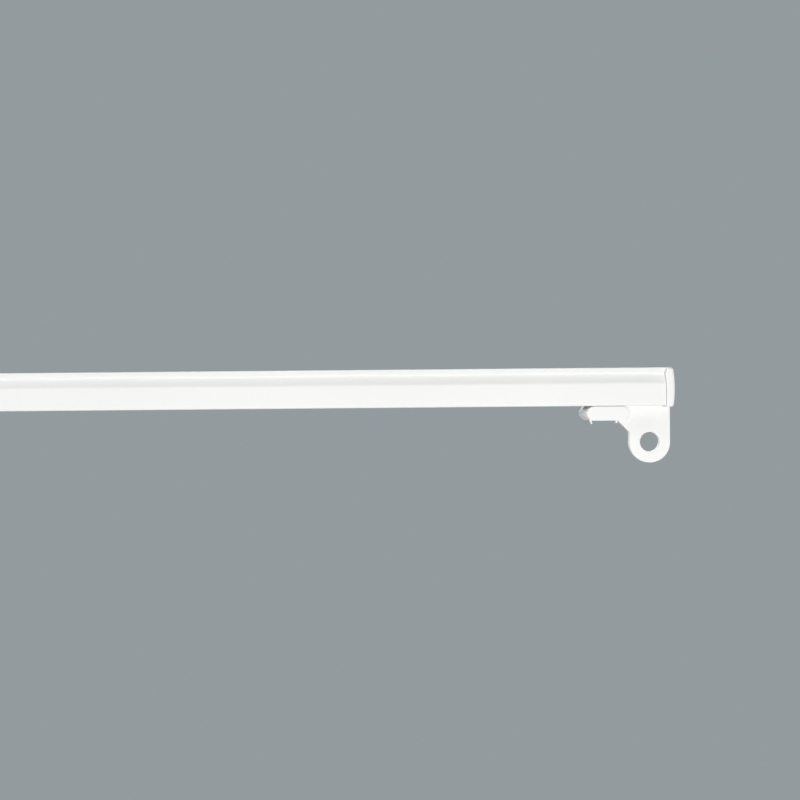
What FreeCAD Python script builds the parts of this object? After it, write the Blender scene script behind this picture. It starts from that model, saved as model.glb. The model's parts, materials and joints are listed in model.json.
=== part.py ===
"""Ceiling curtain track: an extruded rail with a running slot below, an end cap with a hanging
eye on each end, and a row of gliders that slide in the rail's channel.

Frame: X runs along the rail, the front of the rail faces -Y, and +Z is up. The origin is the
middle of the rail's top face, which is screwed flat against a ceiling. All sizes are in mm.
"""

import FreeCAD
import Part
import math
import os

Vector = FreeCAD.Vector

# Rail: an extrusion with a clip groove along each side and a slot along the bottom
RAIL_LENGTH = 600.0
RAIL_WIDTH = 15.0
RAIL_HEIGHT = 14.0
SIDE_WALL = 1.4
TOP_WEB = 1.5
LIP_THICKNESS = 1.5
SLOT_WIDTH = 6.2

# Clip groove, from the top face down: flange edge, undercut, floor, long lower flank
GROOVE_DEPTH = 1.65
FLANGE_EDGE = 0.5
GROOVE_UNDERCUT = 1.4
GROOVE_FLOOR = 0.7
GROOVE_FLANK = 3.0

# Rounds of the extrusion
FLANGE_ROUND = 0.22
GROOVE_ROUND = 0.5
SHOULDER_ROUND = 2.0
BOTTOM_ROUND = 0.7
LIP_ROUND = 0.4
CHANNEL_ROUND = 0.5

# Screw holes through the top web
SCREW_HOLE = 4.2
SCREW_FROM_END = 60.0

# End cap: domed plate, hollow plug in the channel, neck in the slot
CAP_THICKNESS = 3.8
CAP_DOME_RADIUS = 40.0
CAP_OVERHANG = 0.5
CAP_CORNER = 0.8
CAP_RIM_CHAMFER = 1.2
PLUG_LENGTH = 24.0
PLUG_WALL = 1.2
PLUG_CORNER = 0.9
PLUG_LEAD_IN = 0.6
PLUG_CLEARANCE = 0.15
NECK_CLEARANCE = 0.2

# End cap: eye plate that hangs below the slot
EYE_PLATE = 2.2
EYE_WIDTH = 15.3
EYE_INSET = 0.4
EYE_HOLE = 7.3
EYE_DROP = 13.6
EYE_PLATE_DROP = 21.4
EYE_RIM_CHAMFER = 0.3
GUSSET_DROP = 9.9

# End cap: bullnosed foot that lies under the rail and stops the gliders
FOOT_GAP = 0.1
FOOT_LENGTH = 15.6
FOOT_THICKNESS = 5.3
FOOT_WIDTH = 14.6
FOOT_TO_EYE = 1.5
FOOT_EDGE_CHAMFER = 0.35
FOOT_WALL = 1.4
FOOT_CORE_DEPTH = 3.2
FOOT_CORE_INSET = 2.6
FOOT_CORE_LENGTH = 7.15
NIB_WIDTH = 1.0
NIB_TIP = 0.6
NIB_LENGTH = 1.2
NIB_ROOT = 0.9
OUTER_NIB_INSET = 1.3
OUTER_NIB_LEAN = 0.6
OUTER_NIB_HEIGHT = 1.25
INNER_NIB_INSET = 10.75
INNER_NIB_HEIGHT = 0.9

# Glider: head in the channel, neck in the slot, collar and eye below
GLIDER_COUNT = 10
GLIDER_PITCH = 32.0
GLIDER_PARK = 19.0
HEAD_LENGTH = 10.0
HEAD_HEIGHT = 3.2
HEAD_GAP = 0.12
HEAD_SIDE_GAP = 0.35
HEAD_CORNER_CUT = 2.2
HEAD_TOP_CHAMFER = 0.9
GLIDER_NECK_LENGTH = 4.6
GLIDER_NECK_GAP = 0.4
COLLAR_LENGTH = 9.0
COLLAR_WIDTH = 8.6
COLLAR_THICKNESS = 1.3
COLLAR_GAP = 0.35
COLLAR_CORNER_CUT = 1.6
GLIDER_EYE_PLATE = 2.6
GLIDER_EYE_WIDTH = 8.4
GLIDER_EYE_HOLE = 5.0
GLIDER_EYE_DROP = 3.6
GLIDER_EYE_CHAMFER = 0.5

# Heights and half widths that follow from the sizes above
HALF_WIDTH = RAIL_WIDTH / 2
UNDERSIDE = -RAIL_HEIGHT
LIP_TOP = UNDERSIDE + LIP_THICKNESS
GROOVE_HALF = HALF_WIDTH - GROOVE_DEPTH
CHANNEL_HALF = HALF_WIDTH - SIDE_WALL
FLOOR_TOP = -(FLANGE_EDGE + GROOVE_UNDERCUT)
FLOOR_BOTTOM = FLOOR_TOP - GROOVE_FLOOR
FACE_TOP = FLOOR_BOTTOM - GROOVE_FLANK
# The inner corners sit lower by this much, so that the wall stays even round the sloping flank
WALL_SHIFT = SIDE_WALL * math.tan(math.atan2(GROOVE_DEPTH, GROOVE_FLANK) / 2)
CHANNEL_TOP = FACE_TOP - WALL_SHIFT
PLUG_BOTTOM = LIP_TOP + PLUG_CLEARANCE
PLUG_TOP = CHANNEL_TOP - PLUG_CLEARANCE
FOOT_TOP = UNDERSIDE - FOOT_GAP
FOOT_BOTTOM = FOOT_TOP - FOOT_THICKNESS

# Places along the rail on the right-hand end cap, measured from the rail's end face
EYE_RIGHT = CAP_THICKNESS - EYE_INSET
EYE_LEFT = EYE_RIGHT - EYE_WIDTH
FOOT_RIGHT = EYE_LEFT - FOOT_TO_EYE
FOOT_LEFT = FOOT_RIGHT - FOOT_LENGTH

# Planes for outlines: direction of u, direction of v, direction in which the outline is carried
SECTION = (Vector(0, 1, 0), Vector(0, 0, 1), Vector(1, 0, 0))
SIDE = (Vector(1, 0, 0), Vector(0, 0, 1), Vector(0, 1, 0))
PLAN = (Vector(1, 0, 0), Vector(0, 1, 0), Vector(0, 0, 1))


def rectangle(low_u, high_u, low_v, high_v, radius=0.0):
    """Corners of a rectangle that share one radius."""
    corners = [(low_u, low_v), (high_u, low_v), (high_u, high_v), (low_u, high_v)]
    return [(u, v, radius) for u, v in corners]


def cut_rectangle(half_u, half_v, cut):
    """Corners of a rectangle about the origin with its four corners cut off at 45 degrees."""
    quarter = [(half_u, half_v - cut), (half_u - cut, half_v)]
    upper = quarter + [(-u, v) for u, v in reversed(quarter)]
    return [(u, v, 0.0) for u, v in upper + [(-u, -v) for u, v in upper]]


def corner_round(before, here, after, radius):
    """Start, middle and end of the arc that rounds the corner at here."""
    back = (before - here).normalize()
    ahead = (after - here).normalize()
    half_angle = back.getAngle(ahead) / 2
    reach = radius / math.tan(half_angle)
    rise = radius / math.sin(half_angle) - radius
    return here + back * reach, here + (back + ahead).normalize() * rise, here + ahead * reach


def prism(corners, plane, start, length):
    """Solid from a closed outline of corners (u, v, radius), carried from start over length."""
    u_axis, v_axis, sweep = plane
    points = [u_axis * u + v_axis * v + sweep * start for u, v, _ in corners]
    following = points[1:] + points[:1]
    preceding = points[-1:] + points[:-1]
    rounds = [
        corner_round(before, here, after, corner[2])
        for before, here, after, corner in zip(preceding, points, following, corners)
    ]
    edges = []
    for i, (arc_start, arc_middle, arc_end) in enumerate(rounds):
        line_end = rounds[(i + 1) % len(rounds)][0]
        if corners[i][2] > 0:
            edges.append(Part.Arc(arc_start, arc_middle, arc_end).toShape())
        if not arc_end.isEqual(line_end, 1e-6):
            edges.append(Part.LineSegment(arc_end, line_end).toShape())
    return Part.Face(Part.Wire(edges)).extrude(sweep * length)


def cross_cylinder(diameter, length, x, z):
    """Cylinder across the rail, centred on its middle plane."""
    return Part.makeCylinder(diameter / 2, length, Vector(x, -length / 2, z), Vector(0, 1, 0))


def make_rail():
    """Extruded rail with a screw hole through its top web near each end."""
    crown_half = GROOVE_HALF - SIDE_WALL
    slot_half = SLOT_WIDTH / 2
    half = [
        (HALF_WIDTH, 0.0, FLANGE_ROUND),
        (HALF_WIDTH, -FLANGE_EDGE, FLANGE_ROUND),
        (GROOVE_HALF, FLOOR_TOP, GROOVE_ROUND),
        (GROOVE_HALF, FLOOR_BOTTOM, GROOVE_ROUND),
        (HALF_WIDTH, FACE_TOP, SHOULDER_ROUND),
        (HALF_WIDTH, UNDERSIDE, BOTTOM_ROUND),
        (slot_half, UNDERSIDE, LIP_ROUND),
        (slot_half, LIP_TOP, LIP_ROUND),
        (CHANNEL_HALF, LIP_TOP, CHANNEL_ROUND),
        (CHANNEL_HALF, CHANNEL_TOP, CHANNEL_ROUND),
        (crown_half, FLOOR_BOTTOM - WALL_SHIFT, CHANNEL_ROUND),
        (crown_half, -TOP_WEB, CHANNEL_ROUND),
    ]
    other_half = [(-u, v, radius) for u, v, radius in reversed(half)]
    rail = prism(half + other_half, SECTION, -RAIL_LENGTH / 2, RAIL_LENGTH)
    hole_x = RAIL_LENGTH / 2 - SCREW_FROM_END
    for x in (-hole_x, hole_x):
        rail = rail.cut(Part.makeCylinder(SCREW_HOLE / 2, 2 * TOP_WEB, Vector(x, 0, -1.5 * TOP_WEB)))
    return rail


def make_cap_plate():
    """Plate that closes the rail's end: flush on top, a little proud elsewhere, domed outside."""
    half = HALF_WIDTH + CAP_OVERHANG
    outline = rectangle(-half, half, UNDERSIDE - CAP_OVERHANG, 0.0, CAP_CORNER)
    plate = prism(outline, SECTION, 0.0, CAP_THICKNESS)
    rim = [edge for edge in plate.Edges if edge.BoundBox.XMin > CAP_THICKNESS / 2]
    plate = plate.makeChamfer(CAP_RIM_CHAMFER, rim)
    dome_centre = Vector(CAP_THICKNESS - CAP_DOME_RADIUS, 0, UNDERSIDE / 2)
    return plate.common(Part.makeSphere(CAP_DOME_RADIUS, dome_centre))


def make_plug():
    """Hollow plug that fills the channel behind the cap, with a lead-in at its free end."""
    half = CHANNEL_HALF - PLUG_CLEARANCE
    outline = rectangle(-half, half, PLUG_BOTTOM, PLUG_TOP, PLUG_CORNER)
    plug = prism(outline, SECTION, -PLUG_LENGTH, PLUG_LENGTH)
    free_end = [edge for edge in plug.Edges if edge.BoundBox.XMax < -PLUG_LENGTH / 2]
    plug = plug.makeChamfer(PLUG_LEAD_IN, free_end)
    core_half = half - PLUG_WALL
    core = rectangle(-core_half, core_half, PLUG_BOTTOM + PLUG_WALL, PLUG_TOP - PLUG_WALL, CHANNEL_ROUND)
    return plug.cut(prism(core, SECTION, -PLUG_LENGTH, PLUG_LENGTH - PLUG_WALL))


def make_neck():
    """Bar in the slot that joins the plug above to the foot and the eye plate below."""
    half = SLOT_WIDTH / 2 - NECK_CLEARANCE
    outline = rectangle(-half, half, FOOT_TOP, PLUG_BOTTOM + PLUG_WALL / 2)
    return prism(outline, SECTION, -PLUG_LENGTH, PLUG_LENGTH)


def make_eye_plate():
    """Thin upright plate: eye below the rail's end, rib on the dome, 45 degree gusset, web in the foot."""
    top = PLUG_BOTTOM + PLUG_WALL / 2
    rib_top = UNDERSIDE / 2
    plate_bottom = UNDERSIDE - EYE_PLATE_DROP
    gusset_bottom = UNDERSIDE - GUSSET_DROP
    gusset_left = EYE_LEFT - (FOOT_BOTTOM - gusset_bottom)
    web_left = FOOT_LEFT + FOOT_THICKNESS / 2
    outline = [
        (EYE_RIGHT, rib_top, 0.0),
        (EYE_RIGHT, plate_bottom, EYE_WIDTH / 2),
        (EYE_LEFT, plate_bottom, EYE_WIDTH / 2),
        (EYE_LEFT, gusset_bottom, 0.0),
        (gusset_left, FOOT_BOTTOM, 0.0),
        (web_left, FOOT_BOTTOM, 0.0),
        (web_left, top, 0.0),
        (CAP_THICKNESS / 2, top, 0.0),
        (CAP_THICKNESS / 2, rib_top, 0.0),
    ]
    plate = prism(outline, SIDE, -EYE_PLATE / 2, EYE_PLATE)
    eye_x = (EYE_LEFT + EYE_RIGHT) / 2
    plate = plate.cut(cross_cylinder(EYE_HOLE, 2 * EYE_PLATE, eye_x, UNDERSIDE - EYE_DROP))
    rims = [
        edge
        for edge in plate.Edges
        if edge.BoundBox.ZMax < gusset_bottom + EYE_RIM_CHAMFER and edge.BoundBox.YLength < EYE_PLATE / 2
    ]
    return plate.makeChamfer(EYE_RIM_CHAMFER, rims)


def make_foot():
    """Bullnosed bar across the rail's underside, hollow from below, with two nibs under its front wall."""
    left = FOOT_LEFT + FOOT_THICKNESS / 2
    right = FOOT_RIGHT - FOOT_THICKNESS / 2
    middle = (FOOT_TOP + FOOT_BOTTOM) / 2
    body = prism(rectangle(left, right, FOOT_BOTTOM, FOOT_TOP), SIDE, -FOOT_WIDTH / 2, FOOT_WIDTH)
    noses = [cross_cylinder(FOOT_THICKNESS, FOOT_WIDTH, x, middle) for x in (left, right)]
    body = body.fuse(noses).removeSplitter()
    sides = [edge for edge in body.Edges if edge.BoundBox.YLength < FOOT_WIDTH / 2]
    body = body.makeChamfer(FOOT_EDGE_CHAMFER, sides)
    core_half = FOOT_WIDTH / 2 - FOOT_WALL
    core_left = FOOT_LEFT + FOOT_CORE_INSET
    core = rectangle(core_left, core_left + FOOT_CORE_LENGTH, -core_half, core_half, FOOT_WALL / 2)
    body = body.cut(prism(core, PLAN, FOOT_BOTTOM, FOOT_CORE_DEPTH))
    nib_front = FOOT_EDGE_CHAMFER - FOOT_WIDTH / 2
    root = FOOT_BOTTOM + NIB_ROOT
    nibs = (
        (OUTER_NIB_INSET, OUTER_NIB_LEAN, OUTER_NIB_HEIGHT),
        (INNER_NIB_INSET, 0.0, INNER_NIB_HEIGHT),
    )
    for inset, lean, height in nibs:
        x = FOOT_LEFT + inset
        tip = FOOT_BOTTOM - height
        nib = [
            (x + lean - NIB_TIP / 2, tip, 0.0),
            (x + lean + NIB_TIP / 2, tip, 0.0),
            (x + NIB_WIDTH / 2, root, 0.0),
            (x - NIB_WIDTH / 2, root, 0.0),
        ]
        body = body.fuse(prism(nib, SIDE, nib_front, NIB_LENGTH))
    return body


def make_end_cap():
    """One moulding for the right-hand end, with the rail's end face at X = 0."""
    joined = make_cap_plate().fuse([make_plug(), make_neck(), make_eye_plate(), make_foot()])
    return joined.removeSplitter()


def make_glider():
    """One moulded glider with its middle at X = 0."""
    head_bottom = LIP_TOP + HEAD_GAP
    head_plan = cut_rectangle(HEAD_LENGTH / 2, CHANNEL_HALF - HEAD_SIDE_GAP, HEAD_CORNER_CUT)
    head = prism(head_plan, PLAN, head_bottom, HEAD_HEIGHT)
    top_rim = [edge for edge in head.Edges if edge.BoundBox.ZMin > head_bottom + HEAD_HEIGHT / 2]
    head = head.makeChamfer(HEAD_TOP_CHAMFER, top_rim)

    collar_bottom = UNDERSIDE - COLLAR_GAP - COLLAR_THICKNESS
    collar_plan = cut_rectangle(COLLAR_LENGTH / 2, COLLAR_WIDTH / 2, COLLAR_CORNER_CUT)
    collar = prism(collar_plan, PLAN, collar_bottom, COLLAR_THICKNESS)

    neck_bottom = collar_bottom + COLLAR_THICKNESS / 2
    neck_plan = cut_rectangle(GLIDER_NECK_LENGTH / 2, SLOT_WIDTH / 2 - GLIDER_NECK_GAP, GLIDER_NECK_GAP)
    neck = prism(neck_plan, PLAN, neck_bottom, head_bottom + HEAD_HEIGHT / 2 - neck_bottom)

    eye_half = GLIDER_EYE_WIDTH / 2
    eye_z = collar_bottom - GLIDER_EYE_DROP
    eye_outline = [
        (-eye_half, neck_bottom, 0.0),
        (-eye_half, eye_z - eye_half, eye_half),
        (eye_half, eye_z - eye_half, eye_half),
        (eye_half, neck_bottom, 0.0),
    ]
    eye = prism(eye_outline, SIDE, -GLIDER_EYE_PLATE / 2, GLIDER_EYE_PLATE)
    eye = eye.cut(cross_cylinder(GLIDER_EYE_HOLE, 2 * GLIDER_EYE_PLATE, 0.0, eye_z))
    eye = eye.makeChamfer(GLIDER_EYE_CHAMFER, [edge for edge in eye.Edges if edge.isClosed()])
    return head.fuse([neck, collar, eye]).removeSplitter()


def make_pieces():
    """Every piece in its place, by node name."""
    end_cap = make_end_cap()
    right_cap = end_cap.translated(Vector(RAIL_LENGTH / 2, 0, 0))
    pieces = {
        "track_rail": make_rail(),
        "right_end_cap": right_cap,
        "left_end_cap": right_cap.rotated(Vector(0, 0, 0), Vector(0, 0, 1), 180),
    }
    glider = make_glider()
    first_x = GLIDER_PARK - FOOT_LEFT - RAIL_LENGTH / 2
    for i in range(GLIDER_COUNT):
        pieces[f"glider_{i + 1:02d}"] = glider.translated(Vector(first_x + i * GLIDER_PITCH, 0, 0))
    return pieces


os.makedirs("parts", exist_ok=True)
for name, shape in make_pieces().items():
    solid = shape.Solids[0]
    solid.exportStep(f"parts/{name}.step")
    print(name, len(shape.Solids), shape.isValid(), round(solid.Volume, 1), solid.BoundBox)
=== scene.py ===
# %% [markdown]
# # A white ceiling curtain track
# A slim track that is screwed flat under a ceiling: one extruded aluminium rail, a moulded cap
# with a hook eye on each end, and ten gliders that run in the rail's slot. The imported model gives
# the place and size of every piece. This lesson gives each piece its edges, its skin and its
# light. Lengths are in metres, X runs along the rail, the front faces -Y and +Z is up.

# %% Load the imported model
import json
import math

import bmesh
import bpy
import numpy as np
from mathutils import Matrix, Vector


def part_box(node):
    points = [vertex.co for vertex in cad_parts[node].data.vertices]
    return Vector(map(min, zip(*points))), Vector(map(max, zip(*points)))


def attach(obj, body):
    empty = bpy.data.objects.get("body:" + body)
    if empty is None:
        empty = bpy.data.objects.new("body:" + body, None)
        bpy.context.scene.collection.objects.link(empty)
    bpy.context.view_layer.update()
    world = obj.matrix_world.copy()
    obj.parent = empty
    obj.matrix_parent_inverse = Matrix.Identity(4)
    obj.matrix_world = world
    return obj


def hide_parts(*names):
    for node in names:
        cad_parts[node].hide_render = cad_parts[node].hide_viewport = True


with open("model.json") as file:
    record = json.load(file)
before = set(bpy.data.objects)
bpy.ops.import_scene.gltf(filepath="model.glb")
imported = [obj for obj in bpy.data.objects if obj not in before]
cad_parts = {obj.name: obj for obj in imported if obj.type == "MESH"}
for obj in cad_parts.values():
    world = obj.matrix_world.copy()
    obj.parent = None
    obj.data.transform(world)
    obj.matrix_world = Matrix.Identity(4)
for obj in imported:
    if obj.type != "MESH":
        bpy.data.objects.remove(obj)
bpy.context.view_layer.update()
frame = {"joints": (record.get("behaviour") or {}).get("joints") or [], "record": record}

MM = 0.001
rail_low, rail_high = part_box("track_rail")
RAIL_END = rail_high.x
HALF_WIDTH = rail_high.y
UNDERSIDE = rail_low.z
mounts = {mount["name"]: mount for mount in frame["record"]["mounts"]}

# %% [markdown]
# ## The camera
# The photograph looks square at the right-hand end from a hand's breadth or two away, level with
# the rail. Two things fix such a camera: how much narrower the far side of the foot looks than
# its near side gives the distance, and the size in the picture then gives the lens. The rail
# climbs slightly to the right, so the camera is rolled by half a degree.

# %% Camera
CAMERA_FROM_END = 97.7 * MM
CAMERA_FROM_MIDDLE = 301.5 * MM
CAMERA_DROP = 11.12 * MM
CAMERA_ROLL = -0.52
LENS = 36.09
SENSOR = 36.0

camera_data = bpy.data.cameras.new("camera")
camera_data.lens = LENS
camera_data.sensor_width = SENSOR
camera_data.clip_start = 10 * MM
camera = bpy.data.objects.new("camera", camera_data)
bpy.context.scene.collection.objects.link(camera)
camera_place = Vector((RAIL_END - CAMERA_FROM_END, -CAMERA_FROM_MIDDLE, -CAMERA_DROP))
level = Matrix.Rotation(math.radians(90), 4, "X")
roll = Matrix.Rotation(math.radians(CAMERA_ROLL), 4, "Z")
camera.matrix_world = Matrix.Translation(camera_place) @ level @ roll
bpy.context.scene.camera = camera
bpy.context.scene.view_settings.view_transform = "Standard"
print("camera at", [round(value, 4) for value in camera_place])

# %% [markdown]
# ## Colour and nodes
# Paint and plastic colours are written as sRGB hex values, as a colour card gives them, but a
# renderer adds up light and needs linear values. One function converts them, and one small
# function adds a node, so that each finish below reads as a short list of its own layers.

# %% Colour and node helpers
def linear(hex_colour):
    """Linear RGBA of an sRGB hex colour.

    A channel c up to 0.04045 becomes c / 12.92, and a larger one ((c + 0.055) / 1.055) ** 2.4.
    """
    channels = np.array([int(hex_colour[i:i + 2], 16) for i in (1, 3, 5)]) / 255
    bright = ((channels + 0.055) / 1.055) ** 2.4
    return (*np.where(channels <= 0.04045, channels / 12.92, bright).tolist(), 1.0)


def add_node(tree, kind, settings, inputs):
    """Adds a node, gives it its settings, and sets its sockets or links them to outputs."""
    node = tree.nodes.new(kind)
    for name, value in settings.items():
        setattr(node, name, value)
    for name, value in inputs.items():
        if isinstance(value, bpy.types.NodeSocket):
            tree.links.new(value, node.inputs[name])
        else:
            node.inputs[name].default_value = value
    return node


def start_finish(name, ior, metallic):
    """A new material with its Principled shader and the piece's own coordinates in metres."""
    finish = bpy.data.materials.new(name)
    finish.use_nodes = True
    tree = finish.node_tree
    shader = tree.nodes["Principled BSDF"]
    shader.inputs["IOR"].default_value = ior
    shader.inputs["Metallic"].default_value = metallic
    place = add_node(tree, "ShaderNodeTexCoord", {}, {}).outputs["Object"]
    return finish, tree, shader, place


print("white card #f2f2ef in linear light:", [round(c, 3) for c in linear("#f2f2ef")])

# %% [markdown]
# ## Powder coat on the rail
# The rail is sprayed with white polyester powder and baked. The powder melts into a satin skin
# that is never quite flat: it keeps soft waves a millimetre or two long, called orange peel, and
# a slight drift of tone where the spray lay thicker. The waves are about a hundredth of a
# millimetre high, so bump is right for them and geometry would be wasted.

# %% Powder coat
PEEL_LENGTH = 2.0 * MM
PEEL_HEIGHT = 0.02 * MM
SPRAY_DRIFT = 45 * MM


def make_powder_coat():
    """White polyester powder coat, sprayed and baked: even satin white with a faint orange peel."""
    finish, tree, shader, place = start_finish("white_powder_coat_on_aluminium", 1.5, 0.0)
    peel = add_node(tree, "ShaderNodeTexNoise", {},
                    {"Vector": place, "Scale": 1 / PEEL_LENGTH, "Detail": 1.0, "Roughness": 0.4})
    drift = add_node(tree, "ShaderNodeTexNoise", {},
                     {"Vector": place, "Scale": 1 / SPRAY_DRIFT, "Detail": 2.0})
    colour = add_node(tree, "ShaderNodeMix", {"data_type": "RGBA"},
                      {0: drift.outputs[0], 6: linear("#f0f0ed"), 7: linear("#f4f4f2")})
    satin = add_node(tree, "ShaderNodeMapRange", {},
                     {"Value": peel.outputs[0], "To Min": 0.36, "To Max": 0.46})
    bump = add_node(tree, "ShaderNodeBump", {},
                    {"Height": peel.outputs[0], "Distance": PEEL_HEIGHT})
    tree.links.new(colour.outputs[2], shader.inputs["Base Color"])
    tree.links.new(satin.outputs[0], shader.inputs["Roughness"])
    tree.links.new(bump.outputs[0], shader.inputs["Normal"])
    return finish


powder_coat = make_powder_coat()
print("finish:", powder_coat.name)

# %% [markdown]
# ## Bare aluminium in the drilled holes
# The coated bar is drilled and sawn afterwards, so the walls of the screw holes and the two sawn
# ends show bare metal. A drill leaves fine rings round its hole. They are about 0.05 mm apart,
# too fine to show, so they are drawn five times coarser.

# %% Drilled aluminium
# A wave texture of scale 1 repeats after tau / 20.
WAVE_REPEAT = math.tau / 20
TOOL_MARKS = 0.25 * MM
MARK_HEIGHT = 0.004 * MM


def make_bare_aluminium():
    """Aluminium as the drill leaves it: grey metal with rings that catch the light in turn."""
    finish, tree, shader, place = start_finish("drilled_bare_aluminium", 1.5, 1.0)
    rings = add_node(tree, "ShaderNodeTexWave", {"wave_type": "BANDS", "bands_direction": "Z"},
                     {"Vector": place, "Scale": WAVE_REPEAT / TOOL_MARKS, "Distortion": 1.5, "Detail": 2.0})
    colour = add_node(tree, "ShaderNodeMix", {"data_type": "RGBA"},
                      {0: rings.outputs[1], 6: linear("#b9bbbd"), 7: linear("#cfd1d2")})
    bump = add_node(tree, "ShaderNodeBump", {},
                    {"Height": rings.outputs[1], "Distance": MARK_HEIGHT})
    shader.inputs["Roughness"].default_value = 0.34
    tree.links.new(colour.outputs[2], shader.inputs["Base Color"])
    tree.links.new(bump.outputs[0], shader.inputs["Normal"])
    return finish


bare_aluminium = make_bare_aluminium()
print("finish:", bare_aluminium.name)

# %% [markdown]
# ## Moulded plastic of the end caps
# The caps are injection moulded in white ABS. The mould is spark eroded, which leaves a fine even
# grain of about 0.1 mm that makes the plastic look softer than the rail. At the picture's scale
# that is too fine to show, so the grain is drawn at 0.5 mm and as much deeper. Slow flow of the
# melt leaves a very slight drift of tone.

# %% Moulded ABS
SPARK_GRAIN = 0.5 * MM
SPARK_DEPTH = 0.02 * MM
MELT_DRIFT = 14 * MM


def make_moulded_abs():
    """White ABS from a spark-eroded mould: soft, slightly warm white with a fine even grain."""
    finish, tree, shader, place = start_finish("white_moulded_abs_spark_grain", 1.53, 0.0)
    grain = add_node(tree, "ShaderNodeTexNoise", {},
                     {"Vector": place, "Scale": 1 / SPARK_GRAIN, "Detail": 2.0, "Roughness": 0.6})
    drift = add_node(tree, "ShaderNodeTexNoise", {},
                     {"Vector": place, "Scale": 1 / MELT_DRIFT, "Detail": 2.0, "Distortion": 1.0})
    colour = add_node(tree, "ShaderNodeMix", {"data_type": "RGBA"},
                      {0: drift.outputs[0], 6: linear("#f1f1ee"), 7: linear("#f5f5f2")})
    satin = add_node(tree, "ShaderNodeMapRange", {},
                     {"Value": grain.outputs[0], "To Min": 0.4, "To Max": 0.56})
    bump = add_node(tree, "ShaderNodeBump", {},
                    {"Height": grain.outputs[0], "Distance": SPARK_DEPTH})
    tree.links.new(colour.outputs[2], shader.inputs["Base Color"])
    tree.links.new(satin.outputs[0], shader.inputs["Roughness"])
    tree.links.new(bump.outputs[0], shader.inputs["Normal"])
    return finish


moulded_abs = make_moulded_abs()
print("finish:", moulded_abs.name)

# %% [markdown]
# ## Acetal of the gliders
# Gliders are moulded in acetal, because it slides without oil. It comes out of a polished mould
# as a milky white with a soft shine, and running along the rail wears fine streaks in it that
# follow X. The streaks are drawn as noise that is squeezed across the rail and long along it.

# %% Moulded acetal
STREAK_WIDTH = 0.4 * MM
STREAK_LENGTH = 6 * MM
STREAK_DEPTH = 0.006 * MM


def make_acetal():
    """Milky white acetal from a polished mould: a soft shine, broken by fine sliding streaks."""
    finish, tree, shader, place = start_finish("white_moulded_acetal", 1.48, 0.0)
    squeeze = add_node(tree, "ShaderNodeMapping", {},
                       {"Vector": place, "Scale": (STREAK_WIDTH / STREAK_LENGTH, 1.0, 1.0)})
    streak = add_node(tree, "ShaderNodeTexNoise", {},
                      {"Vector": squeeze.outputs[0], "Scale": 1 / STREAK_WIDTH, "Detail": 2.0})
    colour = add_node(tree, "ShaderNodeMix", {"data_type": "RGBA"},
                      {0: streak.outputs[0], 6: linear("#eceae4"), 7: linear("#f3f2ee")})
    shine = add_node(tree, "ShaderNodeMapRange", {},
                     {"Value": streak.outputs[0], "To Min": 0.24, "To Max": 0.38})
    bump = add_node(tree, "ShaderNodeBump", {},
                    {"Height": streak.outputs[0], "Distance": STREAK_DEPTH})
    tree.links.new(colour.outputs[2], shader.inputs["Base Color"])
    tree.links.new(shine.outputs[0], shader.inputs["Roughness"])
    tree.links.new(bump.outputs[0], shader.inputs["Normal"])
    return finish


acetal = make_acetal()
print("finish:", acetal.name)

# %% [markdown]
# ## Outlines with true rounds
# Every piece here starts as a flat outline: the rail's section, a cap's end view, a glider's
# plan. Modelling tools can bevel corners afterwards, but an outline whose arcs are worked out
# keeps each radius exact and gives the direction that faces outwards at every point, which the
# next step needs to round the rims.

# %% Outline helpers
def unit(vectors):
    """Vectors divided by their own lengths."""
    return vectors / np.linalg.norm(vectors, axis=-1, keepdims=True)


def rounded_outline(corners, spans):
    """Points and outward normals of a closed outline of corners (u, v, radius).

    A corner's arc is centred on its bisector, at the radius divided by the sine of half the
    corner's angle. Its points are the centre plus the radius times a direction that swings
    evenly from the square of one side to the square of the other. That direction is the
    outward normal where the outline turns left, and its opposite where it turns right.
    """
    corners = np.asarray(corners, float)
    place, radius = corners[:, :2], corners[:, 2:]
    back = unit(np.roll(place, 1, axis=0) - place)
    ahead = unit(np.roll(place, -1, axis=0) - place)
    half_angle = np.arccos(np.sum(back * ahead, axis=1, keepdims=True)) / 2
    centre = place + unit(back + ahead) * radius / np.sin(half_angle)
    first = (place + back * radius / np.tan(half_angle) - centre) / radius
    last = (place + ahead * radius / np.tan(half_angle) - centre) / radius
    swing = (math.pi - 2 * half_angle)[:, None]
    share = np.linspace(0, 1, spans + 1)[None, :, None]
    start = np.sin((1 - share) * swing) * first[:, None]
    direction = (start + np.sin(share * swing) * last[:, None]) / np.sin(swing)
    points = centre[:, None] + radius[:, None] * direction
    turn = np.sign(back[:, 1] * ahead[:, 0] - back[:, 0] * ahead[:, 1])
    following = np.roll(place, -1, axis=0)
    winding = np.sign(np.sum(place[:, 0] * following[:, 1] - place[:, 1] * following[:, 0]))
    normals = direction * turn[:, None, None] * winding
    return points.reshape(-1, 2), normals.reshape(-1, 2)


def rectangle(low_u, high_u, low_v, high_v, radius):
    """Corners of a rectangle that share one radius."""
    corners = [(low_u, low_v), (high_u, low_v), (high_u, high_v), (low_u, high_v)]
    return [(u, v, radius) for u, v in corners]


def cut_rectangle(half_u, half_v, cut, radius):
    """Corners of a rectangle about the origin, each cut off at 45 degrees and softened."""
    quarter = [(half_u, half_v - cut), (half_u - cut, half_v)]
    upper = quarter + [(-u, v) for u, v in reversed(quarter)]
    return [(u, v, radius) for u, v in upper + [(-u, -v) for u, v in upper]]


def circle(centre_u, centre_v, radius, spans):
    """Points centre plus radius times (cosine, sine) of even angles, with those as normals."""
    angle = np.arange(spans) * 2 * math.pi / spans
    normals = np.stack([np.cos(angle), np.sin(angle)], axis=1)
    return np.array([centre_u, centre_v]) + radius * normals, normals


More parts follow.
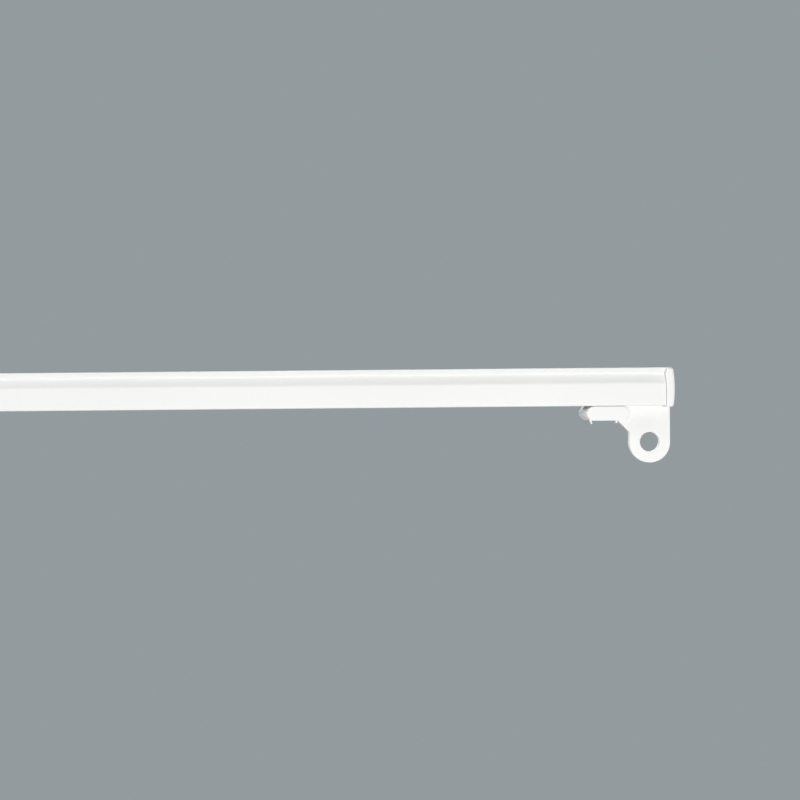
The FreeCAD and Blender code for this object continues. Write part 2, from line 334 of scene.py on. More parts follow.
sample, _ = rounded_outline(rectangle(0, 4, 0, 2, 0.5), 6)
print("a rounded rectangle has", len(sample), "points")

# %% [markdown]
# ## From outlines to skins
# A skin is a grid of points with two parameters: one runs round the outline, the other runs
# along the sweep. The rows near each end pull the outline in along its normals by a quarter
# circle, which rounds the rim the way a mould or a deburring tool does. A row of identical
# points is never needed, because each end closes with one flat face.

# %% Skin helpers
RIM_SPANS = 5
SECTION = (1, 2, 0)
SIDE = (0, 2, 1)
PLAN = (0, 1, 2)


def stand(flat, height, plane):
    """Points in space from outline points (u, v) and a height, by the plane's order of axes."""
    points = np.empty((*flat.shape[:-1], 3))
    points[..., plane[0]] = flat[..., 0]
    points[..., plane[1]] = flat[..., 1]
    points[..., plane[2]] = height
    return points


def rim(radius):
    """Inset and rise of a quarter-circle rim: radius times 1 - sine and 1 - cosine of the swing."""
    swing = np.linspace(0, math.pi / 2, RIM_SPANS + 1)
    return radius * (1 - np.sin(swing)), radius * (1 - np.cos(swing))


def loft(rings):
    """Closed skin over rings of points: quads from ring to ring and a flat face on each end."""
    rows, columns = rings.shape[:2]
    index = np.arange(rows * columns).reshape(rows, columns)
    beside = np.roll(index, -1, axis=1)
    quads = np.stack([index[:-1], beside[:-1], beside[1:], index[1:]], axis=-1).reshape(-1, 4)
    return rings.reshape(-1, 3), quads.tolist() + [index[0, ::-1].tolist(), index[-1].tolist()]


def slab(outline, plane, low, high, low_rim, high_rim):
    """Outline carried from low to high, pulled in along its normals by a quarter circle at each rim."""
    points, normals = outline
    low_inset, low_rise = rim(low_rim)
    high_inset, high_rise = rim(high_rim)
    inset = np.concatenate([low_inset, high_inset[::-1]])[:, None, None]
    height = np.concatenate([low + low_rise, (high - high_rise)[::-1]])[:, None]
    return loft(stand(points - normals * inset, height, plane))


sample_points, sample_faces = slab(circle(0, 0, 1, 24), PLAN, 0, 1, 0.1, 0.1)
print("a rounded disc has", len(sample_points), "points and", len(sample_faces), "faces")

# %% [markdown]
# ## Plates with an eye
# The hook eyes are flat plates with a hole. Seen as a skin, such a plate is a stretched ring: one
# parameter runs round the outline, the other runs round the plate's section, over the outer rim,
# across the back, through the eye and across the front again. Both parameters close on
# themselves, so the plate has no seam and needs no hole to be cut.

# %% Eyed plate helper
def along(outline, spacing):
    """The outline with points added on its long sides, one at every spacing along its length."""
    points, normals = outline
    closed = np.vstack([points, points[:1]])
    steps = np.linalg.norm(np.diff(closed, axis=0), axis=1)
    length = np.concatenate([[0.0], np.cumsum(steps)])
    extra = np.arange(0.0, length[-1], spacing)
    clear = np.min(np.abs(extra[:, None] - length[None, :]), axis=1) > spacing / 3
    marks = np.sort(np.concatenate([length[:-1], extra[clear]]))
    around = np.vstack([normals, normals[:1]])
    both = [np.stack([np.interp(marks, length, part[:, k]) for k in (0, 1)], axis=1)
            for part in (closed, around)]
    return both[0], unit(both[1])


def eyed_plate(outline, eye, eye_radius, half, outer_rim, eye_rim):
    """Plate in the SIDE plane with a round eye, as a grid that closes both ways.

    Each outline point is paired with the point of the eye's circle at the same angle about the
    eye. A row is the outline pulled in by a rim's inset, or the circle pushed out by it, at the
    depth that the rim's rise gives.
    """
    points, normals = outline
    ray = unit(points - eye)
    circle_points = eye + ray * eye_radius
    outer_inset, outer_rise = rim(outer_rim)
    eye_inset, eye_rise = rim(eye_rim)
    outer_rows = points - normals * np.concatenate([outer_inset, outer_inset[::-1]])[:, None, None]
    eye_rows = circle_points + ray * np.concatenate([eye_inset, eye_inset[::-1]])[:, None, None]
    outer_depth = np.concatenate([outer_rise - half, (half - outer_rise)[::-1]])
    eye_depth = np.concatenate([half - eye_rise, (eye_rise - half)[::-1]])
    rows = np.concatenate([outer_rows, eye_rows])
    depth = np.concatenate([outer_depth, eye_depth])[:, None]
    grid = stand(rows, depth, SIDE)
    index = np.arange(grid.shape[0] * grid.shape[1]).reshape(grid.shape[:2])
    beside = np.roll(index, -1, axis=1)
    quads = np.stack([index, beside, np.roll(beside, -1, axis=0), np.roll(index, -1, axis=0)], axis=-1)
    return grid.reshape(-1, 3), quads.reshape(-1, 4).tolist()


ring_points, ring_faces = eyed_plate(along(circle(0, 0, 2, 24), 1), np.zeros(2), 1, 0.5, 0.1, 0.1)
print("a washer has", len(ring_points), "points and", len(ring_faces), "faces")

# %% [markdown]
# ## One moulding from several skins
# A cap is one moulding, although it is easiest to describe as a plate, a plug, a neck, an eye and
# a foot. Leaving the skins pushed through each other would look the same, but the mesh would be
# full of hidden walls. The Boolean modifier welds closed skins into one and cuts pockets and
# holes out of it; its manifold solver gives back a closed mesh whenever it is given closed ones.
# Weighted normals then keep the large faces flat beside the small rims.

# %% Welding helpers
SHARP_ANGLE = math.radians(38)


def skin_object(name, skin, finish):
    """A mesh object from a skin's points and faces, with its faces turned outwards."""
    points, faces = skin
    mesh = bpy.data.meshes.new(name)
    mesh.from_pydata(points.tolist(), [], faces)
    work = bmesh.new()
    work.from_mesh(mesh)
    bmesh.ops.recalc_face_normals(work, faces=work.faces)
    work.to_mesh(mesh)
    work.free()
    mesh.materials.append(finish)
    thing = bpy.data.objects.new(name, mesh)
    bpy.context.scene.collection.objects.link(thing)
    return thing


def volume(mesh):
    """What a closed mesh holds, in cubic millimetres; a skin turned inside out holds less than 0."""
    work = bmesh.new()
    work.from_mesh(mesh)
    held = work.calc_volume(signed=True) / MM ** 3
    work.free()
    return round(held, 1)


def weld(name, skins, finish, cutters, cut_finish):
    """One mesh: the union of the skins, less the cutters, which leave their own finish behind."""
    parts = [skin_object(name, skin, finish) for skin in skins]
    tools = [skin_object(name, skin, cut_finish) for skin in cutters]
    print(name, "skins hold", [volume(part.data) for part in parts + tools], "mm3")
    whole = parts[0]
    steps = [("UNION", part) for part in parts[1:]] + [("DIFFERENCE", tool) for tool in tools]
    for operation, other in steps:
        boolean = whole.modifiers.new(operation.lower(), "BOOLEAN")
        boolean.operation = operation
        boolean.solver = "MANIFOLD"
        boolean.material_mode = "TRANSFER"
        boolean.object = other
    mesh = bpy.data.meshes.new_from_object(whole.evaluated_get(bpy.context.evaluated_depsgraph_get()))
    for used in parts + tools:
        spent = used.data
        bpy.data.objects.remove(used)
        bpy.data.meshes.remove(spent)
    mesh.name = name
    print(name, "welded holds", volume(mesh), "mm3")
    mesh.shade_smooth()
    mesh.set_sharp_from_angle(angle=SHARP_ANGLE)
    return mesh


def place_piece(name, mesh, body, node):
    """Puts a welded mesh into the scene as a piece that stands for a node and rides on its body."""
    piece = bpy.data.objects.new(name, mesh)
    bpy.context.scene.collection.objects.link(piece)
    flatten = piece.modifiers.new("flat_faces", "WEIGHTED_NORMAL")
    flatten.keep_sharp = True
    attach(piece, body)
    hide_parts(node)


print("edges sharper than", round(math.degrees(SHARP_ANGLE)), "degrees stay sharp")

# %% [markdown]
# ## The rail's section
# The rail is pressed through a die, so one section tells nearly all of it. From the top: a thin
# flange, a clip groove with an undercut and a long sloping flank, a plain front, and a bottom
# that is open along the middle. Inside is the gliders' channel, with a narrow crown for screw
# heads. The wall keeps an even thickness round the groove, as a die maker would have it.

# %% Rail section
SIDE_WALL = 1.4 * MM
TOP_WEB = 1.5 * MM
LIP = 1.5 * MM
SLOT_HALF = 3.1 * MM
GROOVE_DEPTH = 1.65 * MM
FLANGE_EDGE = 0.5 * MM
UNDERCUT = 1.4 * MM
GROOVE_FLOOR = 0.7 * MM
GROOVE_FLANK = 3.0 * MM
FLANGE_ROUND = 0.22 * MM
UNDERCUT_ROUND = 0.5 * MM
GROOVE_FOOT_ROUND = 1.8 * MM
SHOULDER_ROUND = 2.0 * MM
BOTTOM_ROUND = 0.7 * MM
LIP_ROUND = 0.4 * MM
CHANNEL_ROUND = 0.5 * MM

groove_half = HALF_WIDTH - GROOVE_DEPTH
channel_half = HALF_WIDTH - SIDE_WALL
crown_half = groove_half - SIDE_WALL
floor_top = -FLANGE_EDGE - UNDERCUT
floor_bottom = floor_top - GROOVE_FLOOR
face_top = floor_bottom - GROOVE_FLANK
wall_shift = SIDE_WALL * math.tan(math.atan2(GROOVE_DEPTH, GROOVE_FLANK) / 2)
channel_top = face_top - wall_shift
lip_top = UNDERSIDE + LIP

right_half = np.array([
    (HALF_WIDTH, 0.0, FLANGE_ROUND),
    (HALF_WIDTH, -FLANGE_EDGE, FLANGE_ROUND),
    (groove_half, floor_top, UNDERCUT_ROUND),
    (groove_half, floor_bottom, GROOVE_FOOT_ROUND),
    (HALF_WIDTH, face_top, SHOULDER_ROUND),
    (HALF_WIDTH, UNDERSIDE, BOTTOM_ROUND),
    (SLOT_HALF, UNDERSIDE, LIP_ROUND),
    (SLOT_HALF, lip_top, LIP_ROUND),
    (channel_half, lip_top, CHANNEL_ROUND),
    (channel_half, channel_top, CHANNEL_ROUND),
    (crown_half, floor_bottom - wall_shift, CHANNEL_ROUND),
    (crown_half, -TOP_WEB, CHANNEL_ROUND),
])
section_corners = np.vstack([right_half, right_half[::-1] * (-1, 1, 1)])
print("rail section:", len(section_corners), "corners, channel", round(2 * channel_half / MM, 1), "mm")

# %% [markdown]
# ## The rail
# The section is carried from end to end, with a small deburred edge where it was sawn. The two
# screw holes are drilled through the top web by plain round cutters, which hand their bare metal
# to the walls they leave. The sawn ends get the same metal.

# %% Rail
DEBURR = 0.15 * MM
ARC_SPANS = 7
DRILL_SPANS = 64
DRILL_REACH = 0.8 * MM
NEARLY_SQUARE = 0.999

pattern = mounts["ceiling_screw_holes"]["dims"]
hole_places = np.array([-0.5, 0.5]) * pattern["spacing_x_mm"] * MM
rail_outline = rounded_outline(section_corners, ARC_SPANS)
rail_skin = slab(rail_outline, SECTION, -RAIL_END, RAIL_END, DEBURR, DEBURR)
drills = [
    slab(circle(x, 0.0, pattern["hole_r_mm"] * MM, DRILL_SPANS), PLAN,
         -TOP_WEB - DRILL_REACH, DRILL_REACH, DEBURR, DEBURR)
    for x in hole_places
]
rail_mesh = weld("rail_extrusion", [rail_skin], powder_coat, drills, bare_aluminium)
facing = np.empty(len(rail_mesh.polygons) * 3)
finish_index = np.empty(len(rail_mesh.polygons), np.int32)
rail_mesh.polygons.foreach_get("normal", facing)
rail_mesh.polygons.foreach_get("material_index", finish_index)
sawn = np.abs(facing.reshape(-1, 3)[:, 0]) > NEARLY_SQUARE
finish_index[sawn] = list(rail_mesh.materials).index(bare_aluminium)
rail_mesh.polygons.foreach_set("material_index", finish_index)
place_piece("rail_extrusion", rail_mesh, "track", "track_rail")
print("rail:", len(rail_mesh.polygons), "faces,", int(sawn.sum()), "of them sawn")

# %% [markdown]
# ## The cap's plate
# The plate closes the rail's end. It stands a little proud of the rail in front, behind and below,
# is flush on top, and its outer face is slightly domed with a soft rim. As a skin, its rings are
# the rounded rectangle pulled in step by step: first round the rim, then shrinking towards the
# middle of the dome. How far a point stands out is the sphere's height there, less the rim's drop.
# A pushed-in cap never closes dead tight, so a hair's breadth is left behind it, the fine dark
# seam that shows in any light.

# %% Cap plate
cap_low, cap_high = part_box("right_end_cap")
CAP_REACH = cap_high.x - RAIL_END
CAP_OVERHANG = 0.49 * MM
CAP_SKIRT = 0.5 * MM
CAP_HALF = HALF_WIDTH + CAP_OVERHANG
CAP_BOTTOM = UNDERSIDE - CAP_SKIRT
CAP_CORNER = 1.0 * MM
DOME_RADIUS = 44 * MM
DOME_MIDDLE = -7.5 * MM
PLATE_RIM = 0.85 * MM
SEAM_EDGE = 0.2 * MM
SEAM_GAP = 0.12 * MM
DOME_RINGS = 10
DOME_SPACING = 0.6 * MM
DOME_EYE = 0.06


def make_cap_plate():
    """Domed plate: each ring is the outline less its inset, standing out by the dome's height.

    The dome's height is the reach less the sphere's fall, radius - sqrt(radius^2 - distance^2),
    where the distance is taken from the middle of the plate. The first rings round the inner
    edge, a seam's gap away from the rail.
    """
    corners = rectangle(-CAP_HALF, CAP_HALF, CAP_BOTTOM, 0.0, CAP_CORNER)
    points, normals = along(rounded_outline(corners, ARC_SPANS), DOME_SPACING)
    middle = np.array([0.0, DOME_MIDDLE])
    seam_inset, seam_rise = rim(SEAM_EDGE)
    rim_inset, rim_drop = rim(PLATE_RIM)
    shrink = np.linspace(1.0, DOME_EYE, DOME_RINGS)[1:, None, None]
    edge = points - normals * PLATE_RIM
    flat = np.concatenate([
        points - normals * seam_inset[:, None, None],
        points - normals * rim_inset[::-1, None, None],
        middle + (edge - middle) * shrink,
    ])
    fall = DOME_RADIUS - np.sqrt(DOME_RADIUS ** 2 - np.sum((flat - middle) ** 2, axis=2))
    drop = np.concatenate([rim_drop[::-1], np.zeros(len(shrink))])[:, None]
    height = CAP_REACH - fall
    height[:len(seam_rise)] = SEAM_GAP + seam_rise[:, None]
    height[len(seam_rise):] -= drop
    return loft(stand(flat, RAIL_END + height, SECTION))


cap_plate = make_cap_plate()
print("cap plate:", len(cap_plate[0]), "points, reach", round(CAP_REACH / MM, 2), "mm")

# %% [markdown]
# ## The cap's plug and neck
# Behind the plate a hollow plug fills the rail's channel, and a neck goes down through the slot.
# The plug is a loft of rounded rectangles: along the outside, round the open end with its
# lead-in, and back along the inside to the floor of the hollow.

# %% Plug and neck
PLUG_LENGTH = 24 * MM
PLUG_WALL = 1.2 * MM
PLUG_CLEARANCE = 0.15 * MM
LEAD_IN = 0.6 * MM
PLUG_CORNER = 0.9 * MM
CORE_CORNER = 0.5 * MM
NECK_CLEARANCE = 0.2 * MM
NECK_SETBACK = 0.1 * MM
NECK_DROP = 0.15 * MM
NECK_CORNER = 0.2 * MM
NECK_EDGE = 0.12 * MM
BURIED = 0.8 * MM

plug_half = channel_half - PLUG_CLEARANCE
plug_bottom = lip_top + PLUG_CLEARANCE
plug_top = channel_top - PLUG_CLEARANCE
neck_half = SLOT_HALF - NECK_CLEARANCE
neck_bottom = UNDERSIDE - NECK_DROP
neck_top = plug_bottom + PLUG_WALL / 2
neck_start = RAIL_END - (PLUG_LENGTH - NECK_SETBACK)


def plug_ring(inset, radius, depth):
    """A rounded rectangle, inset from the plug's outside, at a depth along the rail."""
    half = plug_half - inset
    corners = rectangle(-half, half, plug_bottom + inset, plug_top - inset, radius)
    return stand(rounded_outline(corners, ARC_SPANS)[0], RAIL_END - depth, SECTION)


plug = loft(np.array([
    plug_ring(0.0, PLUG_CORNER, -BURIED),
    plug_ring(0.0, PLUG_CORNER, PLUG_LENGTH - LEAD_IN),
    plug_ring(LEAD_IN, PLUG_CORNER - LEAD_IN, PLUG_LENGTH),
    plug_ring(PLUG_WALL, CORE_CORNER, PLUG_LENGTH),
    plug_ring(PLUG_WALL, CORE_CORNER, PLUG_WALL),
]))
neck_corners = rectangle(-neck_half, neck_half, neck_bottom, neck_top, NECK_CORNER)
neck = slab(rounded_outline(neck_corners, ARC_SPANS), SECTION,
            neck_start, RAIL_END + BURIED / 2, NECK_EDGE, NECK_EDGE)
print("plug:", round(2 * plug_half / MM, 2), "mm in a channel of", round(2 * channel_half / MM, 2))

# %% [markdown]
# ## The cap's eye plate
# A thin plate hangs from the neck. Its round lower end carries the hook eye, a 45 degree gusset
# ties it to the foot, and its outer edge runs up the dome as a low rib. The outline is given by
# its corners; the round end is two corners whose radius is half the plate's width, or a hair
# less, so that the two arcs never share a point.

# %% Eye plate
eye_mount = mounts["right_end_eye"]
EYE = np.array([eye_mount["pos_m"][0], eye_mount["pos_m"][2]])
EYE_RADIUS = eye_mount["dims"]["r_mm"] * MM
EYE_WIDTH = 15.3 * MM
EYE_HALF_THICKNESS = 1.1 * MM
EYE_RIM = 0.3 * MM
GUSSET_DROP = 9.9 * MM
RIB_TOP = 9.0 * MM
RIB_WIDTH = 0.8 * MM
RIB_FOOT = 0.6 * MM
WEB_OVERLAP = 0.4 * MM
FOOT_OVERLAP = 1.0 * MM
FOOT_DROP = 5.4 * MM
CORNER = 0.4 * MM
FULL_ROUND = 0.999
PLATE_SPANS = 24
PLATE_SPACING = 0.5 * MM

eye_right = EYE[0] + EYE_WIDTH / 2
eye_left = EYE[0] - EYE_WIDTH / 2
eye_round = EYE_WIDTH / 2 * FULL_ROUND
foot_bottom = UNDERSIDE - FOOT_DROP
gusset_bottom = UNDERSIDE - GUSSET_DROP
gusset_top = foot_bottom + FOOT_OVERLAP
web_left = eye_left - (gusset_top - gusset_bottom)
web_top = UNDERSIDE + WEB_OVERLAP
plate_corners = [
    (eye_right, -RIB_TOP, CORNER),
    (eye_right - RIB_WIDTH, -RIB_TOP, CORNER),
    (RAIL_END + RIB_FOOT, web_top, CORNER),
    (web_left, web_top, CORNER),
    (web_left, gusset_top, CORNER),
    (eye_left, gusset_bottom, CORNER),
    (eye_left, cap_low.z, eye_round),
    (eye_right, cap_low.z, eye_round),
]
eye_outline = along(rounded_outline(plate_corners, PLATE_SPANS), PLATE_SPACING)
eye_plate = eyed_plate(eye_outline, EYE, EYE_RADIUS, EYE_HALF_THICKNESS, EYE_RIM, EYE_RIM)
print("eye plate:", len(eye_outline[0]), "points round, eye", round(2 * EYE_RADIUS / MM, 2), "mm")

# %% [markdown]
# ## The cap's foot
# A bullnosed bar lies across under the rail and stops the gliders. It is a stadium outline carried
# from front to back, with softened long edges, hollowed from below on each side of the web so
# that the moulding cools evenly. Two small nibs stand under its front wall.

# %% Foot
FOOT_GAP = 0.1 * MM
FOOT_LENGTH = 15.6 * MM
FOOT_HALF = 7.3 * MM
FOOT_EDGE = 0.35 * MM
FOOT_WALL = 1.4 * MM
POCKET_DEPTH = 3.2 * MM
POCKET_CORNER = 0.7 * MM
POCKET_FLOOR = 0.4 * MM
POCKET_INSET = 2.6 * MM
POCKET_LENGTH = 7.15 * MM
NIB_ROOT = 0.9 * MM
NIB_LENGTH = 1.2 * MM
OUTER_NIB = {"inset": 1.12 * MM, "lean": 0.57 * MM, "height": 1.15 * MM,
             "root_width": 0.75 * MM, "tip_width": 0.35 * MM}
INNER_NIB = {"inset": 10.75 * MM, "lean": 0.0, "height": 0.9 * MM,
             "root_width": 1.0 * MM, "tip_width": 0.6 * MM}
NIB_ROUND = 0.15 * MM
NIB_RIM = 0.1 * MM

foot_left = cap_low.x
foot_top = UNDERSIDE - FOOT_GAP
nose = (foot_top - foot_bottom) / 2 * FULL_ROUND
foot_corners = rectangle(foot_left, foot_left + FOOT_LENGTH, foot_bottom, foot_top, nose)
foot = slab(rounded_outline(foot_corners, PLATE_SPANS), SIDE,
            -FOOT_HALF, FOOT_HALF, FOOT_EDGE, FOOT_EDGE)


def make_nib(inset, lean, height, root_width, tip_width):
    """A tapered nib under the foot's front wall, its tip moved sideways by its lean."""
    x = foot_left + inset
    tip, root = foot_bottom - height, foot_bottom + NIB_ROOT
    corners = [
        (x + lean - tip_width / 2, tip, NIB_ROUND),
        (x + lean + tip_width / 2, tip, NIB_ROUND),
        (x + root_width / 2, root, NIB_ROUND),
        (x - root_width / 2, root, NIB_ROUND),
    ]
    front = FOOT_EDGE - FOOT_HALF
    outline = rounded_outline(corners, ARC_SPANS)
    return slab(outline, SIDE, front, front + NIB_LENGTH, NIB_RIM, NIB_RIM)


def make_pocket(side):
    """The hollow on one side of the web, open below, with a softened floor."""
    inner, outer = EYE_HALF_THICKNESS, FOOT_HALF - FOOT_WALL
    low_y, high_y = sorted((side * inner, side * outer))
    left = foot_left + POCKET_INSET
    corners = rectangle(left, left + POCKET_LENGTH, low_y, high_y, POCKET_CORNER)
    return slab(rounded_outline(corners, ARC_SPANS), PLAN,
                foot_bottom - POCKET_DEPTH, foot_bottom + POCKET_DEPTH, POCKET_FLOOR, POCKET_FLOOR)


nibs = [make_nib(**OUTER_NIB), make_nib(**INNER_NIB)]
pockets = [make_pocket(side) for side in (-1, 1)]
print("foot:", round((foot_top - foot_bottom) / MM, 2), "mm thick, with", len(nibs), "nibs")

# %% [markdown]
# ## Both end caps
# The skins are welded into one moulding and the two pockets are cut out of it. The cap at the
# other end comes out of the same mould: it is the same mesh turned half round about the upright
# axis, and a half turn, unlike a mirror, keeps every face pointing outwards.

# %% End caps
cap_skins = [cap_plate, plug, neck, eye_plate, foot, *nibs]
right_mesh = weld("right_cap_moulding", cap_skins, moulded_abs, pockets, moulded_abs)
left_mesh = right_mesh.copy()
left_mesh.transform(Matrix.Rotation(math.pi, 4, "Z"))
place_piece("right_cap_moulding", right_mesh, "track", "right_end_cap")
place_piece("left_cap_moulding", left_mesh, "track", "left_end_cap")
print("end cap:", len(right_mesh.polygons), "faces")

# %% [markdown]
# ## The gliders
# A glider's head runs on the rail's lips, its neck passes the slot, and a collar below keeps it
# upright. Each is a cut rectangle carried upwards, and the cut corners never jam. The head's upper
# rim has a large round, because that is where it meets the channel wall.

# %% Glider head, neck and collar
glider_low, glider_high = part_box("glider_01")
HEAD_HALF_LENGTH = (glider_high.x - glider_low.x) / 2
HEAD_HALF_WIDTH = glider_high.y
HEAD_TOP = glider_high.z
HEAD_HEIGHT = 3.2 * MM
HEAD_CUT = 2.2 * MM
HEAD_ROUND = 0.9 * MM
COLLAR_GAP = 0.35 * MM
COLLAR_THICKNESS = 1.3 * MM
COLLAR_HALF_LENGTH = 4.5 * MM
COLLAR_HALF_WIDTH = 4.3 * MM
COLLAR_CUT = 1.6 * MM
GLIDER_NECK_HALF = (2.3 * MM, 2.7 * MM)
GLIDER_NECK_CUT = 0.4 * MM
GLIDER_NECK_CORNER = 0.3 * MM
GLIDER_CORNER = 0.5 * MM
SMALL_EDGE = 0.2 * MM

collar_top = UNDERSIDE - COLLAR_GAP
collar_middle = collar_top - COLLAR_THICKNESS / 2


def cut_block(halves, cut, corner, low, high, top_rim):
    """A cut rectangle about the origin, carried from low to high, with a small round on its low rim."""
    outline = rounded_outline(cut_rectangle(*halves, cut, corner), ARC_SPANS)
    return slab(outline, PLAN, low, high, SMALL_EDGE, top_rim)


head = cut_block((HEAD_HALF_LENGTH, HEAD_HALF_WIDTH), HEAD_CUT, GLIDER_CORNER,
                 HEAD_TOP - HEAD_HEIGHT, HEAD_TOP, HEAD_ROUND)
collar = cut_block((COLLAR_HALF_LENGTH, COLLAR_HALF_WIDTH), COLLAR_CUT, GLIDER_CORNER,
                   collar_top - COLLAR_THICKNESS, collar_top, SMALL_EDGE)
glider_neck = cut_block(GLIDER_NECK_HALF, GLIDER_NECK_CUT, GLIDER_NECK_CORNER,
                        collar_middle, HEAD_TOP - HEAD_HEIGHT / 2, SMALL_EDGE)
print("glider head:", round(2 * HEAD_HALF_LENGTH / MM, 2), "x", round(2 * HEAD_HALF_WIDTH / MM, 2), "mm")

# %% [markdown]
# ## The glider's eye
# Under the collar hangs the eye that takes the curtain hook. It is a plate with an eye like the
# cap's, only smaller and with a softer rim in the hole, where the hook swings. Then head, neck,
# collar and eye are welded into one moulding.

# %% Glider eye
glider_mount = mounts["glider_01_eye"]
GLIDER_EYE = np.array([0.0, glider_mount["pos_m"][2]])
GLIDER_EYE_RADIUS = glider_mount["dims"]["r_mm"] * MM
GLIDER_EYE_HALF = 4.2 * MM
GLIDER_EYE_HALF_THICKNESS = 1.3 * MM
GLIDER_EYE_RIM = 0.5 * MM

glider_eye_corners = [
    (-GLIDER_EYE_HALF, glider_low.z, GLIDER_EYE_HALF * FULL_ROUND),
    (GLIDER_EYE_HALF, glider_low.z, GLIDER_EYE_HALF * FULL_ROUND),
    (GLIDER_EYE_HALF, collar_middle, CORNER),
    (-GLIDER_EYE_HALF, collar_middle, CORNER),
]
glider_eye_outline = along(rounded_outline(glider_eye_corners, PLATE_SPANS), PLATE_SPACING)
glider_eye = eyed_plate(glider_eye_outline, GLIDER_EYE, GLIDER_EYE_RADIUS,
                        GLIDER_EYE_HALF_THICKNESS, SMALL_EDGE, GLIDER_EYE_RIM)
glider_mesh = weld("glider", [head, glider_neck, collar, glider_eye], acetal, [], acetal)
print("glider:", len(glider_mesh.polygons), "faces, eye", round(2 * GLIDER_EYE_RADIUS / MM, 2), "mm")

# %% [markdown]
# ## Ten gliders in a row
# All gliders come from one mould, and each has one sliding joint. Each one gets its own copy of the
# mesh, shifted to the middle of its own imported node, and rides on its own body, so that every
# glider slides by itself.

# %% Glider row
for number in range(1, len(frame["joints"]) + 1):
    node = f"glider_{number:02d}"
    low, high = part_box(node)
    mesh = glider_mesh.copy()
    mesh.transform(Matrix.Translation(((low.x + high.x) / 2, 0.0, 0.0)))
    place_piece(f"{node}_moulding", mesh, node, node)
bpy.data.meshes.remove(glider_mesh)
print("gliders placed:", number)

# %% [markdown]
# ## Background and floor
# The track hangs in front of a plain cool grey. The grey is shown to camera, glossy and
# transmission rays only, through the Light Path node, while the surfaces are lit by an even
# neutral sky. A pale floor lies a room's height below, out of the picture.

# %% World and floor
BACKDROP = "#939b9f"
SKY = "#f4f6f8"
SKY_STRENGTH = 0.24
FLOOR_DROP = 2.4
FLOOR_RADIUS = 4.4
FLOOR_SPANS = 96
PATCHES_PER_METRE = 1.5

world = bpy.data.worlds.new("grey_studio")
world.use_nodes = True
bpy.context.scene.world = world
tree = world.node_tree
tree.nodes.clear()
path = add_node(tree, "ShaderNodeLightPath", {}, {})
seen = add_node(tree, "ShaderNodeMath", {"operation": "MAXIMUM"},
                {0: path.outputs["Is Camera Ray"], 1: path.outputs["Is Glossy Ray"]})
seen = add_node(tree, "ShaderNodeMath", {"operation": "MAXIMUM"},
                {0: seen.outputs[0], 1: path.outputs["Is Transmission Ray"]})
sky = add_node(tree, "ShaderNodeBackground", {}, {"Color": linear(SKY), "Strength": SKY_STRENGTH})
shown = add_node(tree, "ShaderNodeBackground", {}, {"Color": linear(BACKDROP), "Strength": 1.0})
both = add_node(tree, "ShaderNodeMixShader", {},
                {0: seen.outputs[0], 1: sky.outputs[0], 2: shown.outputs[0]})
add_node(tree, "ShaderNodeOutputWorld", {}, {0: both.outputs[0]})


def make_floor_paint():
    """Pale matt floor paint with a slow, faint drift of tone, lost in the backdrop towards its edge."""
    finish, tree, shader, place = start_finish("pale_matt_floor_paint", 1.45, 0.0)
    drift = add_node(tree, "ShaderNodeTexNoise", {},
                     {"Vector": place, "Scale": PATCHES_PER_METRE, "Detail": 3.0})
    colour = add_node(tree, "ShaderNodeMix", {"data_type": "RGBA"},
                      {0: drift.outputs[0], 6: linear("#d9dadb"), 7: linear("#dedfdf")})
    tree.links.new(colour.outputs[2], shader.inputs["Base Color"])
    shader.inputs["Roughness"].default_value = 0.9
    reach = add_node(tree, "ShaderNodeVectorMath", {"operation": "LENGTH"}, {0: place})
    edge = math.hypot(FLOOR_DROP, FLOOR_RADIUS)
    fade = add_node(tree, "ShaderNodeMapRange", {"interpolation_type": "SMOOTHSTEP"},
                    {"Value": reach.outputs["Value"], "From Min": FLOOR_DROP, "From Max": edge})
    haze = add_node(tree, "ShaderNodeEmission", {}, {"Color": linear(BACKDROP)})
    blend = add_node(tree, "ShaderNodeMixShader", {},
                     {0: fade.outputs[0], 1: shader.outputs[0], 2: haze.outputs[0]})
    tree.links.new(blend.outputs[0], tree.nodes["Material Output"].inputs["Surface"])
    return finish


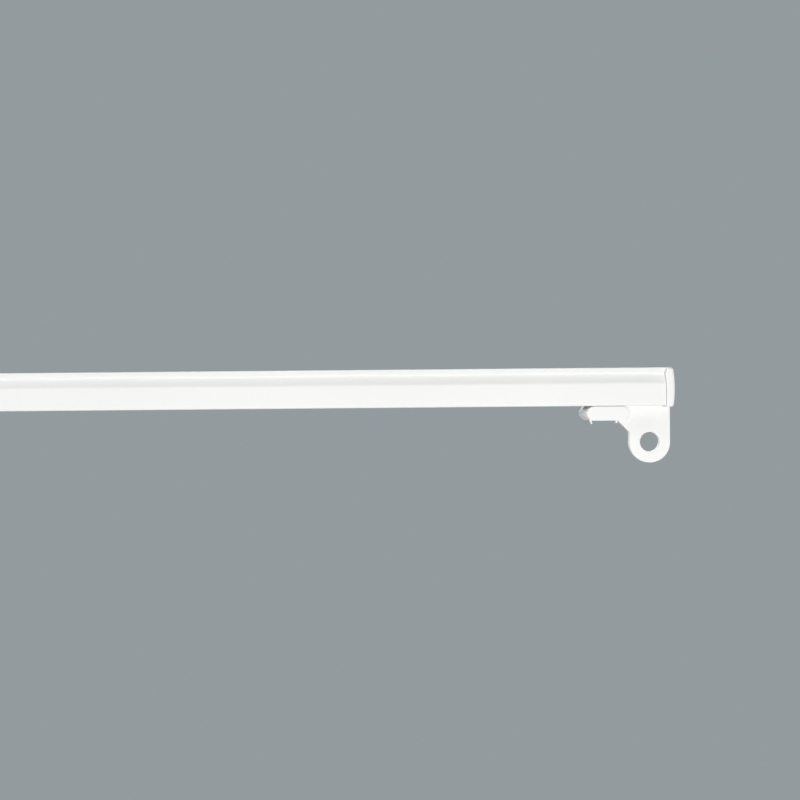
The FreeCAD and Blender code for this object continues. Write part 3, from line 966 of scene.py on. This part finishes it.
disc, _ = circle(0.0, 0.0, FLOOR_RADIUS, FLOOR_SPANS)
floor_mesh = bpy.data.meshes.new("floor")
floor_mesh.from_pydata(stand(disc, -FLOOR_DROP, PLAN).tolist(), [], [list(range(len(disc)))])
floor_mesh.materials.append(make_floor_paint())
floor = bpy.data.objects.new("floor", floor_mesh)
bpy.context.scene.collection.objects.link(floor)
print("backdrop", BACKDROP, "floor", FLOOR_DROP, "m below")

# %% [markdown]
# ## Light
# Two soft boxes do the work of windows. The one in front stands low, so that the groove's flank,
# which looks upwards, stays a shade darker than the face below it. The one far to the left, a
# little above the rail, whitens the walls of the eye while the rail keeps the foot's nose in
# shade. Fills from the right, above and behind are for looking at the track from there. A lamp's
# power is worked out from the light it should add: a white card at the track, square to the lamp,
# takes on that share of its full brightness. On the front the shares come to about one, so that
# a colour renders about as it is written.

# %% Soft boxes
RIGHT_END = Vector((RAIL_END, 0.0, UNDERSIDE))
SOFT_BOXES = {
    "front_window": {"place": (0.35, -1.82, -0.7), "size": (2.0, 1.1), "share": 0.83},
    "left_window": {"place": (-2.46, -0.84, 0.81), "size": (1.3, 1.3), "share": 0.46},
    "right_end_fill": {"place": (1.1, -0.1, -0.1), "size": (0.9, 0.9), "share": 0.25},
    "top_fill": {"place": (0.2, 0.9, 1.7), "size": (1.2, 1.2), "share": 0.45},
    "back_fill": {"place": (0.4, 1.8, 0.3), "size": (1.2, 1.2), "share": 0.45},
}


def add_soft_box(name, place, size, share):
    """Lamp aimed at the track's right end: power = share * pi^2 * distance^2 lights a card there."""
    lamp = bpy.data.lights.new(name, "AREA")
    lamp.shape = "RECTANGLE"
    lamp.size, lamp.size_y = size
    away = Vector(place) - RIGHT_END
    lamp.energy = share * math.pi ** 2 * away.length_squared
    box = bpy.data.objects.new(name, lamp)
    box.matrix_world = Matrix.Translation(place) @ away.to_track_quat("Z", "Y").to_matrix().to_4x4()
    bpy.context.scene.collection.objects.link(box)
    return box


soft_boxes = [add_soft_box(name, **values) for name, values in SOFT_BOXES.items()]
print("soft boxes:", [box.name for box in soft_boxes])
